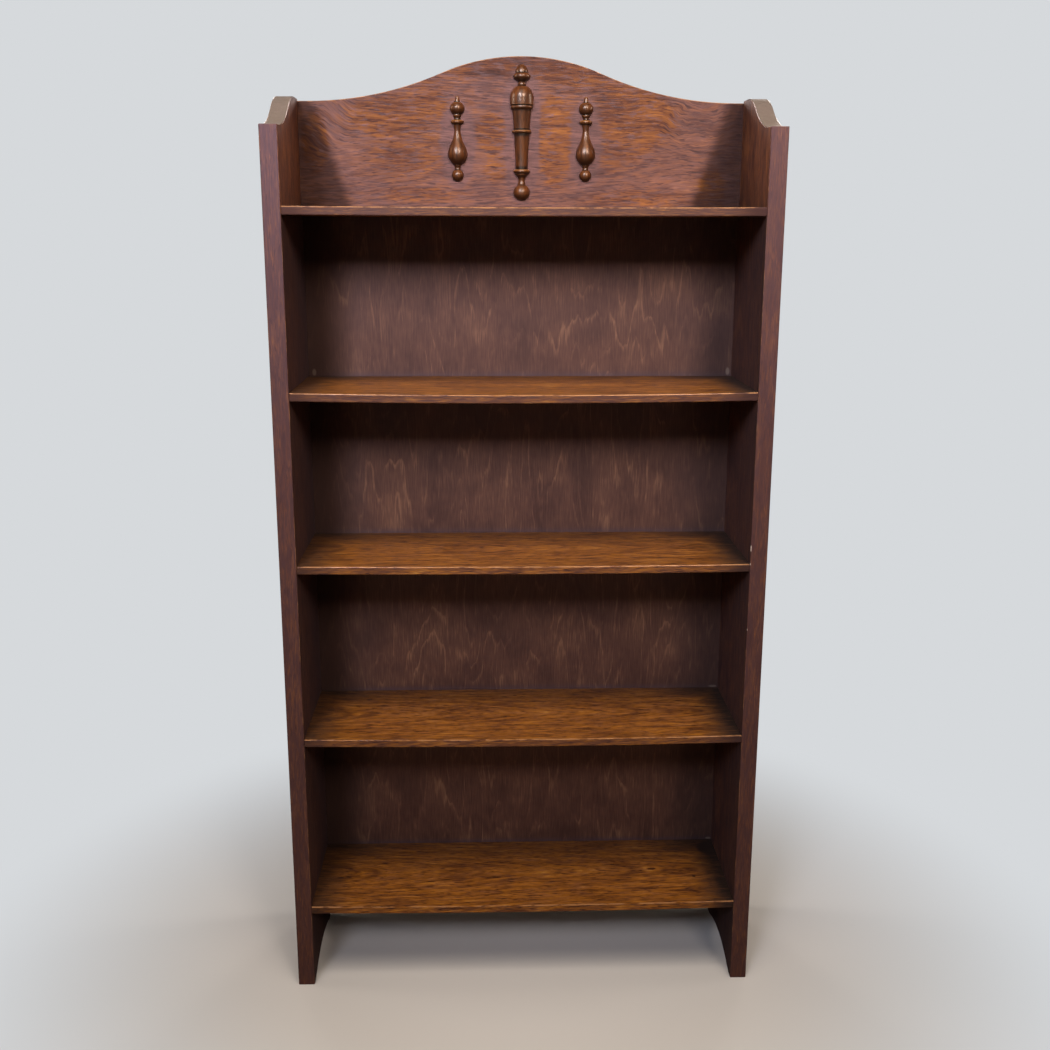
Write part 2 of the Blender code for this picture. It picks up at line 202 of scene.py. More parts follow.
def overlap(tree, *parts):
    """Multiplies parts. A part is a share, or a pattern with the values where it starts and is full."""
    total = None
    for part in parts:
        if isinstance(part, tuple):
            pattern, (start, full) = part
            part = add_node(
                tree,
                RANGE,
                {"Value": pattern, "From Min": start, "From Max": full},
                interpolation_type="SMOOTHSTEP",
            )
        if total is not None:
            part = add_node(tree, MATH, {0: total, 1: part}, operation="MULTIPLY")
        total = part
    return total


def add_shares(tree, start, parts):
    """Adds up patterns, each by its share, from a starting value."""
    total = start
    for part, share in parts:
        total = add_node(tree, MATH, {0: part, 1: share, 2: total}, operation="MULTIPLY_ADD")
    return total


def pick(figure, shares, strength=1.0):
    """The parts of a figure that have a share, with those shares made stronger or weaker."""
    return [(figure[name], share * strength) for name, share in shares.items()]


def away_from(tree, value, target):
    """The distance between a value and its target."""
    away = add_node(tree, MATH, {0: value, 1: target}, operation="SUBTRACT")
    return add_node(tree, MATH, {0: away}, operation="ABSOLUTE")


def inside_sides(tree, across_case):
    """How far a place is from the nearer side of the case, in millimetres."""
    away = away_from(tree, across_case, 0.0)
    return add_node(tree, MATH, {0: CLEAR_HALF, 1: away}, operation="SUBTRACT")


def leaning(tree, across_case, share, lean):
    """A share that grows by the lean from the middle of the case to its right side."""
    return add_shares(tree, share, ((across_case, lean / CLEAR_HALF),))


def add_marks(tree, grain, marks, total, *torn):
    """Adds round soft-edged marks to a value. Torn edges come from patterns that they multiply."""
    for mark in marks:
        place = add_node(
            tree,
            MAPPING,
            {
                "Vector": grain,
                "Location": (mark.along, mark.across, 0),
                "Scale": (mark.half_length, mark.half_width, MILLIMETRES),
            },
            vector_type="TEXTURE",
        )
        spot = add_node(tree, GRADIENT, {"Vector": place}, gradient_type="SPHERICAL")
        share = overlap(tree, (spot.outputs["Fac"], (0.0, 1 - MARK_CORE_SHARE)), *torn)
        total = add_shares(tree, total, ((share, mark.strength),))
    return total


def coats(tree, finish, *layers):
    """Lays coats over a finish in turn. A coat has its share and its colour."""
    for share, layer in layers:
        layer = colour(layer) if isinstance(layer, str) else layer
        mixed = add_node(tree, MIX, {"Factor": share, "A": finish, "B": layer}, data_type="RGBA")
        finish = mixed.outputs[2]
    return finish


# Wax, polish and the film of stain under them bend light about alike
WAX_IOR = 1.5


def waxed_surface(tree, finish, roughness, height, sheen, sheen_tint):
    """Ends a material of waxed wood. The height of its pores and fibres is in millimetres."""
    relief = add_node(tree, BUMP, {"Height": height, "Distance": 1 / MILLIMETRES, "Strength": 1.0})
    shader = add_node(
        tree,
        PRINCIPLED,
        {
            "Base Color": finish,
            "Roughness": roughness,
            "Normal": relief,
            "IOR": WAX_IOR,
            "Specular IOR Level": sheen,
            "Specular Tint": colour(sheen_tint),
        },
    )
    add_node(tree, OUTPUT, {"Surface": shader})


# Oak boards

# How a board was sawn. Along, across and through name the axes that run with the grain, across the show
# face and into the board. The pith of the tree lay so far across and behind the face, a year's ring is so
# wide, and the ring shifts by the slope for each millimetre along the board, all in millimetres. Start
# picks the length of trunk. Polish is the share of a front edge that old polish hides. Swirls bend the
# grain, curls ruffle it, patches take the stain warmer, spots lighter or darker, and nicks bare the wood.
Board = namedtuple(
    "Board",
    "along across through pith_across pith_depth ring slope start polish swirls curls patches spots nicks",
    defaults=[()] * 5,
)

# How a board took its stain: how light and how orange it is, how strong its figure is, the tint of the
# light that its fibres throw back, and how strongly they do so
Stain = namedtuple("Stain", "tone warmth contrast sheen_tint sheen")

SIDE_BOARD = Board("Z", "Y", "X", 60.0, 90.0, 3.4, 0.030, 900.0, 0.72)
SIDE_STAIN = Stain(0.34, 0.62, 1.35, "#ffd2d8", 0.90)
SIDE_LENGTH_STEP = 700.0
RIGHT_SIDE_NICKS = (
    Mark(36.0, -101.0, 5.5, 4.0, 1.0),
    Mark(12.5, -101.0, 2.0, 3.0, 0.7),
    Mark(-88.5, -101.0, 1.8, 3.0, 0.6),
)

SHELF_BOARD = Board("X", "Y", "Z", 10.0, 60.0, 3.6, 0.060, 0.0, 0.72)
SHELF_STAIN = Stain(0.57, 0.88, 1.55, "#ffd0bc", 0.70)
SHELF_LENGTH_STEP = 1000.0

# How much of the front edge of each shelf old polish hides, from the top shelf down
SHELF_POLISH_SHARES = (0.86, 0.72, 0.42, 0.50, 0.16)
BOTTOM_SHELF_SPOTS = (
    Mark(321.0, 70.0, 24.0, 26.0, -0.9),
    Mark(280.5, -22.0, 3.4, 3.2, -1.0),
    Mark(214.0, 4.0, 26.0, 11.0, 0.20),
    Mark(214.0, 4.0, 10.0, 4.5, -0.60),
)

GALLERY_STAIN = Stain(0.36, 0.30, 1.05, "#ffc6bc", 1.0)
GALLERY_SWIRLS = (
    Mark(-345.0, 70.0, 110.0, 130.0, -27.0),
    Mark(262.0, 10.0, 60.0, 50.0, 7.0),
    Mark(205.0, 40.0, 50.0, 40.0, -4.0),
)
GALLERY_CURLS = (
    Mark(258.0, 12.0, 72.0, 62.0, 0.62),
    Mark(-318.0, 22.0, 50.0, 52.0, 0.40),
)
GALLERY_PATCHES = (
    Mark(49.0, -11.0, 32.0, 82.0, 1.5),
    Mark(73.0, 84.0, 60.0, 22.0, 0.8),
    Mark(177.0, 20.0, 80.0, 50.0, 0.7),
    Mark(286.0, -81.0, 26.0, 40.0, 0.8),
    Mark(177.0, -95.0, 110.0, 20.0, 0.5),
    Mark(-42.0, 0.0, 30.0, 38.0, 1.3),
    Mark(-38.0, -50.0, 26.0, 28.0, 0.6),
    Mark(-200.0, 22.0, 84.0, 34.0, 0.7),
    Mark(-120.0, 40.0, 60.0, 20.0, 0.5),
    Mark(-150.0, -88.0, 90.0, 16.0, 0.5),
    Mark(-306.0, -12.0, 24.0, 54.0, 1.2),
    Mark(-182.0, -43.0, 90.0, 36.0, 0.3),
    Mark(-67.0, 94.0, 90.0, 20.0, 0.4),
    Mark(20.0, 100.0, 150.0, 36.0, 0.5),
    Mark(-150.0, 20.0, 120.0, 100.0, 0.4),
    Mark(130.0, 20.0, 110.0, 100.0, 0.6),
)
# Spots lighten or darken the stain. The first darkens the crown as painted shade, to damp the sheen there.
GALLERY_SPOTS = (
    Mark(0.0, 104.0, 150.0, 36.0, -0.15),
    Mark(49.0, -11.0, 32.0, 82.0, 0.05),
    Mark(255.0, -60.0, 110.0, 60.0, 0.05),
    Mark(-250.0, -10.0, 60.0, 60.0, 0.05),
)
GALLERY_BOARD = Board(
    along="X",
    across="Z",
    through="Y",
    pith_across=-30.0,
    pith_depth=60.0,
    ring=3.4,
    slope=0.050,
    start=400.0,
    polish=0.0,
    swirls=GALLERY_SWIRLS,
    curls=GALLERY_CURLS,
    patches=GALLERY_PATCHES,
    spots=GALLERY_SPOTS,
)

# Polish stays cool and purple this far round the turnings, in millimetres, where no cloth reaches
HALO_BESIDE = 17.0
HALO_PAST_END = 22.0
HALO_STRENGTH = -1.3

COOL_SHADES = (
    (0.00, "#140a09"),
    (0.25, "#3c241e"),
    (0.50, "#6b463c"),
    (0.75, "#96684e"),
    (1.00, "#c09570"),
)
WARM_SHADES = (
    (0.00, "#220e04"),
    (0.25, "#562b0d"),
    (0.50, "#8e5317"),
    (0.75, "#b97122"),
    (1.00, "#d69a45"),
)
FRONT_POLISH = "#482c28"
# Rubbed wood, also a painted highlight on the upper arrises of the shelves
WORN_AND_HIGHLIT_WOOD = "#b9804f"
# Near-black brown of the painted shade in corners, ends and backs; the black card behind the case takes it
# too
SHADE_BROWN = "#150d09"
# Pale grey of dust and painted glare on the upward faces of the sides
DUST_AND_GLARE_WOOD = "#968471"
BARE_WOOD = "#e8cdb4"

# The figure of oak. Pores are 0.3 mm wide in life and streaks well under a millimetre. Both are drawn
# some times coarser so that they show. Each board sets the width of its rings, half a year's growth.
WANDER = Figure(190.0, 80.0, 2.0, 0.5)
CURL = Figure(15.0, 11.0, 1.0, 0.5)
RING = Figure(60.0, 1.7, 2.0, 0.6, 0.2)
GROUP = Figure(80.0, 7.0, 2.0, 0.5, 0.2)
PORE = Figure(14.0, 1.7, 1.0, 0.5, 0.2)
STREAK = Figure(22.0, 1.5, 2.0, 0.6, 0.2)
BLOCK = Figure(24.0, 5.5, 3.0, 0.6, 0.2)
PATCH = Figure(25.0, 4.8, 4.0, 0.7, 0.2)
RUB = Figure(24.0, 9.0, 3.0, 0.6)

# How far the wander and the curls move the grain sideways, in millimetres
WANDER_REACH = 18.0
CURL_REACH = 11.0

# How much of the wood is early wood as the year passes, how open the pores are in late wood, and how much
# more open they are in early wood
EARLY_WOOD_SHARES = (
    (0.00, "#ffffff"),
    (0.35, "#cccccc"),
    (0.60, "#404040"),
    (0.90, "#000000"),
    (1.00, "#ffffff"),
)
LATE_PORE_SHARE = 0.3
EARLY_PORE_SHARE = 0.7

# How strongly each part of the figure lightens or darkens the stain, and turns it orange
TONE_SHARES = {"block": 0.26, "streak": 0.40, "ring": 0.44, "group": 0.50, "pores": -0.30}
MEAN_TONE_SHARE = -sum(share for share in TONE_SHARES.values() if share > 0) / 2
WARMTH_SHARES = {"patch": 1.9, "streak": 0.4}
MEAN_WARMTH_SHARE = -sum(WARMTH_SHARES.values()) / 2

# How high each part of the figure stands, in millimetres
OAK_HEIGHTS = {"pores": -0.07, "streak": 0.05, "block": 0.05}

# The values of a pattern where something starts to show and where it is full
PORES_SHOW = (0.50, 0.68)
PATCHES_SHOW = (0.38, 0.54)
SIDE_RUBBING_SHOWS = (0.50, 0.68)
RUBBING_SHOWS = (0.36, 0.56)

# The part of a face's direction along one axis at which something starts to show on the face, and at
# which it is full
SHOW_FACE = (0.1, -0.1)
FRONT_FACE = (-0.1, -0.4)
FRONT_EDGE = (-0.15, -0.45)
BACK_FACE = (0.4, 0.9)
INNER_FACE = (0.2, 0.6)
HIGHLIT_UPPER_FACE = (0.15, 0.35)
DUST_AND_GLARE_FACE = (0.25, 0.95)
LEFT_FACE = (-0.05, -0.20)
ARRIS_OFF_FACE = (0.985, 0.93)
ARRIS_OFF_EDGE = (0.12, 0.25)

# Dense wood takes a smoother polish than wood with open pores. Where shade is painted the wax is made duller
# as well, and what hands have rubbed thin is dull, but the arrises themselves are burnished.
PORE_ROUGHNESS = 0.58
DENSE_ROUGHNESS = 0.40
SHADE_DULLNESS_SHARE = 0.45
BACK_DULLNESS_SHARE = 0.25
RUBBED_DULLNESS_SHARE = 0.24
ARRIS_DULLNESS_SHARE = -0.24

# How much of the stain hands and cloths have rubbed off the arrises of a side, and how much the upper
# arrises of the others are lightened, by wear and by a painted highlight
SIDE_RUBBED_SHARE = 0.35
RUB_AND_HIGHLIGHT_SHARE = 0.85

# How thick the pale coat of dust and painted glare lies on the upward faces of a side, and how much more of
# it along the streaks and blocks
DUST_AND_GLARE_SHARE = 0.28
DUST_AND_GLARE_GROWTH_SHARES = {"streak": 0.60, "block": 0.40}

# How far the streaks break up the polish on the front edges
POLISH_STREAK_SHARE = 1.3

# How full the polish is round the turnings where the patches are weakest, and how much more where they
# are strong, so that its edge is torn
HALO_SHARE = 0.4
HALO_TORN_SHARE = 1.2

# Painted shade on the inner face of a side, standing in for the shadow inside the case: how much of the
# stain it hides within the bays and below them, and how much more of it at the back of a bay. It grows over
# this share of the depth each way from the middle. Its upper edges are so soft, in millimetres.
INNER_SHADE_SHARE = 0.64
INNER_SHADE_GROWTH_SHARES = {"side_left": 0.26, "side_right": -0.12}
INNER_SHADE_REACH_SHARE = 1 / 3
FOOT_SHADE_SHARE = 0.80
SHADE_EDGE_SOFTNESS = 1.0

# Painted shade lies on a shelf this far from the sides and the back, in millimetres, where the sides and the
# shelf above cast shadow. The corners are darkest, and the right ends darker than the left. Both kinds
# blend, and the blocks of the figure mottle them.
SHELF_END_SHADE = 74.0
SHELF_END_SHADE_SHARE = 0.86
SHELF_END_LEAN_SHARE = 0.10
SHELF_BACK_SHADE = 95.0
SHELF_BACK_SHADE_SHARE = 0.54
SHELF_CORNER_FROM = 140.0
SHELF_CORNER_TO = 30.0
SHELF_CORNER_SHADE_SHARE = 0.36
SHELF_SHADE_BLEND_SHARE = 0.1
SHELF_SHADE_EVEN_SHARE = 0.75
SHELF_SHADE_MOTTLE_SHARE = 0.6

# The dark ends of the gallery are painted shadow of the sides, and grow by this share of the way down from
# its top
GALLERY_END_SLOPE_SHARE = 0.35
GALLERY_END_SOFTNESS = 11.0
GALLERY_END_SHADE_SHARE = 0.72
GALLERY_END_LEAN_SHARE = 0.06


def board_painted_shade(tree, node_name, board, axes, mottle, facing):
    """How much painted shade darkens the stain, in the corners, ends and backs where shadow falls."""
    from_side = inside_sides(tree, axes["X"])
    low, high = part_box(node_name)

    # On the gallery, the dark ends of painted shadow widen downwards
    if board.across == "Z":
        half_height = (high.z - low.z) / 2 * MILLIMETRES
        down = add_node(tree, MATH, {0: half_height, 1: axes["Z"]}, operation="SUBTRACT")
        edge = add_shares(tree, from_side, ((down, -GALLERY_END_SLOPE_SHARE),))
        ends = (edge, (GALLERY_END_SOFTNESS, -GALLERY_END_SOFTNESS))
        hidden = leaning(tree, axes["X"], GALLERY_END_SHADE_SHARE, GALLERY_END_LEAN_SHARE)
        return overlap(tree, ends, (facing["Y"], FRONT_FACE), hidden)

    # On a shelf, the painted shade lies along the ends and the back
    if board.through == "Z":
        behind = BACK_FRONT - (low.y + high.y) / 2 * MILLIMETRES
        from_back = add_node(tree, MATH, {0: behind, 1: axes["Y"]}, operation="SUBTRACT")
        corner = overlap(tree, (from_side, (SHELF_CORNER_FROM, SHELF_CORNER_TO)))
        at_back = add_shares(tree, SHELF_BACK_SHADE_SHARE, ((corner, SHELF_CORNER_SHADE_SHARE),))
        back = overlap(tree, (from_back, (SHELF_BACK_SHADE, 0.0)), at_back)
        at_end = leaning(tree, axes["X"], SHELF_END_SHADE_SHARE, SHELF_END_LEAN_SHARE)
        ends = overlap(tree, (from_side, (SHELF_END_SHADE, 0.0)), at_end)
        both = add_node(tree, MATH, {0: back, 1: ends, 2: SHELF_SHADE_BLEND_SHARE}, operation="SMOOTH_MAX")
        uneven = add_shares(tree, SHELF_SHADE_EVEN_SHARE, ((mottle, SHELF_SHADE_MOTTLE_SHARE),))
        return overlap(tree, both, uneven)

    # On a side, it lies on the inner face below the top shelf
    inward = overlap(tree, facing["X"], -1.0 if low.x > 0 else 1.0)
    middle_height = (low.z + high.z) / 2
    top = (SHELF_BOXES[0][0].z - middle_height) * MILLIMETRES
    foot = (SHELF_BOXES[-1][0].z - middle_height) * MILLIMETRES
    reach = CLEAR_DEPTH * INNER_SHADE_REACH_SHARE
    behind = overlap(tree, (axes["Y"], (-reach, reach)))
    hidden = add_shares(tree, INNER_SHADE_SHARE, ((behind, INNER_SHADE_GROWTH_SHARES[node_name]),))
    below_top = (axes["Z"], (top + SHADE_EDGE_SOFTNESS, top - SHADE_EDGE_SOFTNESS))
    below_bays = (axes["Z"], (foot + SHADE_EDGE_SOFTNESS, foot - SHADE_EDGE_SOFTNESS))
    in_bay = overlap(tree, below_top, hidden)
    in_foot = overlap(tree, below_bays, FOOT_SHADE_SHARE)
    either = add_node(tree, MATH, {0: in_bay, 1: in_foot}, operation="MAXIMUM")
    return overlap(tree, (inward, INNER_FACE), either)


def oak_figure(tree, board, axes, flat_grain, face_place):
    """The parts of a board's figure, by name."""
    # The trunk wandered as it grew, and the figure runs in loops round a branch
    along = axes[board.along]
    start = (board.start, board.start, board.start)
    trunk = add_node(tree, VECTOR_MATH, {0: flat_grain, 1: start}, operation="ADD")
    wander = streaks(tree, trunk, WANDER)
    bent = add_shares(tree, axes[board.across], ((wander, WANDER_REACH),))
    bent = add_marks(tree, face_place, board.swirls, bent)
    if board.curls:
        ruffle = streaks(tree, trunk, CURL)
        sideways = add_shares(tree, -CURL_REACH / 2, ((ruffle, CURL_REACH),))
        bent = add_marks(tree, face_place, board.curls, bent, sideways)
    grain = add_node(tree, JOIN, {"X": along, "Y": bent, "Z": axes[board.through]})
    shifted = add_node(tree, VECTOR_MATH, {0: grain, 1: start}, operation="ADD")

    # The rings lie round the pith, and good and bad years come in groups, which show from afar
    pith = (0, board.pith_across, board.pith_depth)
    from_pith = add_node(tree, VECTOR_MATH, {0: grain, 1: pith}, operation="SUBTRACT")
    crossways = add_node(tree, VECTOR_MATH, {0: from_pith, 1: (0, 1, 1)}, operation="MULTIPLY")
    distance = add_node(tree, VECTOR_MATH, {0: crossways}, operation="LENGTH")
    age = add_shares(tree, distance.outputs["Value"], ((along, board.slope),))
    ring_place = add_node(tree, JOIN, {"X": along, "Y": age})
    years = add_node(tree, MATH, {0: age, 1: board.ring}, operation="DIVIDE")
    season = add_node(tree, MATH, {0: years}, operation="FRACT")
    early = add_node(tree, RAMP, {0: season}, stops=EARLY_WOOD_SHARES)
    open_pores = add_shares(tree, LATE_PORE_SHARE, ((early, EARLY_PORE_SHARE),))
    return {
        "ring": streaks(tree, ring_place, RING._replace(width=board.ring / 2)),
        "group": streaks(tree, ring_place, GROUP),
        "pores": overlap(tree, (streaks(tree, shifted, PORE), PORES_SHOW), open_pores),
        "streak": streaks(tree, shifted, STREAK),
        "block": streaks(tree, shifted, BLOCK),
        "patch": streaks(tree, shifted, PATCH),
        "rub": streaks(tree, shifted, RUB),
    }


def stained_oak(name, node_name, board, stain):
    """Plain-sawn oak, planed, stained dark and waxed by hand.

    The pores of the early wood take most stain, so each year's ring shows as a dark streak of short
    dashes beside a plain, warmer band. Polish has gone purple-brown where nobody rubs it and stays
    orange where cloths and hands do. The wood fibres under the wax throw light back in their own
    colour, so the sheen is soft and tinted. Painted shade darkens the corners, ends and backs where
    shadow falls. The upper arrises of the shelves carry a painted highlight besides their wear, and
    the tops of the sides a pale coat of dust and painted glare.
    """
    material, tree = new_material(name)
    low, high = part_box(node_name)
    axes, flat_grain = placed(tree, (low + high) / 2, (board.along, board.across, board.through))
    face_place = add_node(tree, JOIN, {"X": axes[board.along], "Y": axes[board.across]})
    figure = oak_figure(tree, board, axes, flat_grain, face_place)
    facing = facing_parts(tree)

    mean_tone = stain.tone + MEAN_TONE_SHARE * stain.contrast
    tone = add_shares(tree, mean_tone, pick(figure, TONE_SHARES, stain.contrast))
    tone = add_marks(tree, face_place, board.spots, tone)
    warmth = add_shares(tree, stain.warmth + MEAN_WARMTH_SHARE, pick(figure, WARMTH_SHARES))
    if board.patches:
        in_front = overlap(tree, (facing["Y"], SHOW_FACE))
        torn = overlap(tree, (figure["patch"], PATCHES_SHOW), in_front)
        warmth = add_marks(tree, face_place, board.patches, warmth, torn)
        ragged = add_shares(tree, HALO_SHARE, ((figure["patch"], HALO_TORN_SHARE),))
        halo = overlap(tree, ragged, in_front)
        warmth = add_marks(tree, face_place, turning_halos(node_name), warmth, halo)
    warm_share = add_node(tree, MATH, {0: warmth, 1: 0.0}, operation="ADD", use_clamp=True)
    cool = add_node(tree, RAMP, {0: tone}, stops=COOL_SHADES)
    warm = add_node(tree, RAMP, {0: tone}, stops=WARM_SHADES)
    painted_shade = board_painted_shade(tree, node_name, board, axes, figure["block"], facing)
    layers = [(warm_share, warm), (painted_shade, SHADE_BROWN)]
    if board.across != "Z":
        mean_polish = board.polish + POLISH_STREAK_SHARE / 2
        worn = add_shares(tree, mean_polish, ((figure["streak"], -POLISH_STREAK_SHARE),))
        polish = add_node(tree, MATH, {0: worn, 1: 1.0}, operation="MINIMUM")
        layers.append((overlap(tree, (facing["Y"], FRONT_EDGE), polish), FRONT_POLISH))

    # Hands and cloths have rubbed the stain thin along the arrises. On the shelves only the arrises that
    # face up are lightened, a painted highlight as well as wear.
    square = away_from(tree, facing[board.through], 0.0)
    arris = overlap(tree, (square, ARRIS_OFF_FACE), (square, ARRIS_OFF_EDGE))
    if board.through == "X":
        rub = overlap(tree, (figure["rub"], SIDE_RUBBING_SHOWS), SIDE_RUBBED_SHARE)
        dust_and_glare = add_shares(tree, DUST_AND_GLARE_SHARE, pick(figure, DUST_AND_GLARE_GROWTH_SHARES))
        dusty_glare = overlap(tree, (facing["Z"], DUST_AND_GLARE_FACE), dust_and_glare)
        layers += [(overlap(tree, arris, rub), WORN_AND_HIGHLIT_WOOD), (dusty_glare, DUST_AND_GLARE_WOOD)]
    else:
        rub = overlap(tree, (figure["rub"], RUBBING_SHOWS), (facing["Z"], HIGHLIT_UPPER_FACE), RUB_AND_HIGHLIGHT_SHARE)
        layers.append((overlap(tree, arris, rub), WORN_AND_HIGHLIT_WOOD))
    if board.nicks:
        torn = overlap(tree, arris, (facing["X"], LEFT_FACE))
        layers.append((add_marks(tree, face_place, board.nicks, 0.0, torn), BARE_WOOD))

    roughness = add_node(
        tree,
        RANGE,
        {"Value": figure["streak"], "To Min": PORE_ROUGHNESS, "To Max": DENSE_ROUGHNESS},
    )
    to_back = overlap(tree, (facing["Y"], BACK_FACE))
    dulling = [(to_back, BACK_DULLNESS_SHARE), (painted_shade, SHADE_DULLNESS_SHARE), (arris, ARRIS_DULLNESS_SHARE)]
    if board.patches:
        dulling.append((warm_share, RUBBED_DULLNESS_SHARE))
    dull = add_shares(tree, roughness, dulling)
    height = add_shares(tree, 0.0, pick(figure, OAK_HEIGHTS))
    waxed_surface(tree, coats(tree, cool, *layers), dull, height, stain.sheen, stain.sheen_tint)
    return material


def turning_halos(node_name):
    """A cool mark on the gallery round each turning."""
    low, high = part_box(node_name)
    middle = (low + high) / 2
    halos = []
    for turning in TURNING_NAMES:
        low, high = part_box(turning)
        centre = ((low + high) / 2 - middle) * MILLIMETRES
        half = (high - low) / 2 * MILLIMETRES
        reach = (half.x + HALO_BESIDE, half.z + HALO_PAST_END)
        halos.append(Mark(centre.x, centre.z, *reach, HALO_STRENGTH))
    return halos


def dress_boards():
    for number, side in enumerate(SIDE_NAMES):
        nicks = RIGHT_SIDE_NICKS if side == "side_right" else ()
        board = SIDE_BOARD._replace(start=SIDE_BOARD.start + SIDE_LENGTH_STEP * number, nicks=nicks)
        dress(NODES[side], stained_oak(f"stained_oak_{side}", side, board, SIDE_STAIN))
    for number, (shelf, polish) in enumerate(zip(SHELF_NAMES, SHELF_POLISH_SHARES)):
        board = SHELF_BOARD._replace(
            start=SHELF_BOARD.start + SHELF_LENGTH_STEP * number,
            polish=polish,
            spots=BOTTOM_SHELF_SPOTS if shelf == "shelf_bottom" else (),
        )
        dress(NODES[shelf], stained_oak(f"stained_oak_{shelf}", shelf, board, SHELF_STAIN))
    gallery = stained_oak("stained_oak_gallery", "gallery_board", GALLERY_BOARD, GALLERY_STAIN)
    dress(NODES["gallery_board"], gallery)


# Half turnings

# Stations down each turning, as on the model: height share, radius share, and the bulge of the stretch
# below as a share of that stretch. A bead bulges out and a cove bulges in.
CENTRE_TURNING_SHARES = (
    (0.000, 0.00, 0.20),
    (0.064, 0.53, 0.00),
    (0.068, 0.60, 0.28),
    (0.113, 0.55, 0.00),
    (0.124, 0.36, -0.17),
    (0.157, 0.43, 0.00),
    (0.168, 0.65, 0.11),
    (0.249, 1.00, 0.01),
    (0.294, 1.00, 0.00),
    (0.298, 0.90, 0.00),
    (0.302, 0.93, 0.13),
    (0.323, 0.91, 0.00),
    (0.334, 0.80, -0.01),
    (0.477, 0.67, 0.00),
    (0.480, 0.78, 0.25),
    (0.500, 0.78, 0.00),
    (0.504, 0.67, -0.01),
    (0.766, 0.52, 0.00),
    (0.769, 0.65, 0.25),
    (0.794, 0.65, 0.00),
    (0.798, 0.56, 0.12),
    (0.816, 0.47, 0.00),
    (0.818, 0.41, -0.16),
    (0.884, 0.38, 0.38),
    (1.000, 0.00, 0.00),
)
SIDE_TURNING_SHARES = (
    (0.000, 0.00, 0.20),
    (0.015, 0.19, 0.00),
    (0.065, 0.27, 0.00),
    (0.074, 0.47, 0.24),
    (0.204, 0.49, 0.00),
    (0.208, 0.40, 0.12),
    (0.239, 0.38, 0.00),
    (0.244, 0.34, -0.10),
    (0.271, 0.35, 0.00),
    (0.276, 0.56, 0.28),
    (0.319, 0.57, 0.00),
    (0.325, 0.40, -0.03),
    (0.408, 0.32, -0.05),
    (0.561, 0.72, 0.06),
    (0.673, 1.00, 0.14),
    (0.800, 0.40, 0.00),
    (0.822, 0.34, 0.00),
    (0.826, 0.30, -0.10),
    (0.860, 0.33, 0.38),
    (1.000, 0.00, 0.00),
)

# How finely a turning is drawn: steps in each arc, the length of a step on a straight stretch in metres,
# and steps round the half turn. Edges sharper than the angle stay crisp.
TURNING_ARC_STEPS = 8
TURNING_STEP = 0.0008
HALF_TURN_STEPS = 36
SHARP_ANGLE = math.radians(35)

# A rim stands proud of what lies this far above and below it, by this depth when it is full, in metres.
# A groove lies behind it in the same way.
RIM_REACH = 0.0014
RIM_DEPTH = 0.0009


def arc(start, end, bulge_share, steps):
    """Points after start up to end, on an arc that bulges to the left of the way it runs."""
    along = end - start
    if not bulge_share:
        steps = max(1, round(along.length / TURNING_STEP))
        return [start.lerp(end, step / steps) for step in range(1, steps + 1)]
    chord = along.length
    along.normalize()
    left = Vector((-along.y, along.x))
    middle = (start + end) / 2
    sweep = 4 * math.atan(2 * bulge_share)
    radius = chord / (2 * math.sin(sweep / 2))
    points = []
    for step in range(1, steps + 1):
        angle = sweep * (step / steps - 0.5)
        out = radius * (math.cos(angle) - math.cos(sweep / 2))
        points.append(middle + along * (radius * math.sin(angle)) + left * out)
    return points


def turning_profile(length, radius, shares):
    """Radius and height of each point, from the finial down to the ball."""
    stations = [Vector((radius * out, -length * down)) for down, out, bulge in shares]
    bulges = [bulge for down, out, bulge in shares]
    points = [stations[0]]
    for upper, lower, bulge in zip(stations[:-1], stations[1:], bulges):
        points += arc(upper, lower, bulge, TURNING_ARC_STEPS)
    points[-1] = stations[-1]
    return points


def radius_at(profile, height):
    """The radius of a profile, which runs downwards, at a height."""
    for upper, lower in zip(profile[:-1], profile[1:]):
        if upper.y >= height > lower.y:
            share = (upper.y - height) / (upper.y - lower.y)
            return upper.x + (lower.x - upper.x) * share
    return 0.0


def proudness(profile):
    """How far each point of a profile stands out from its neighbours, from -1 in a groove to 1."""
    values = []
    for point in profile:
        beside = [radius_at(profile, point.y + reach) for reach in (-RIM_REACH, RIM_REACH)]
        out = (point.x - sum(beside) / len(beside)) / RIM_DEPTH
        values.append(max(-1.0, min(1.0, out)))
    return values


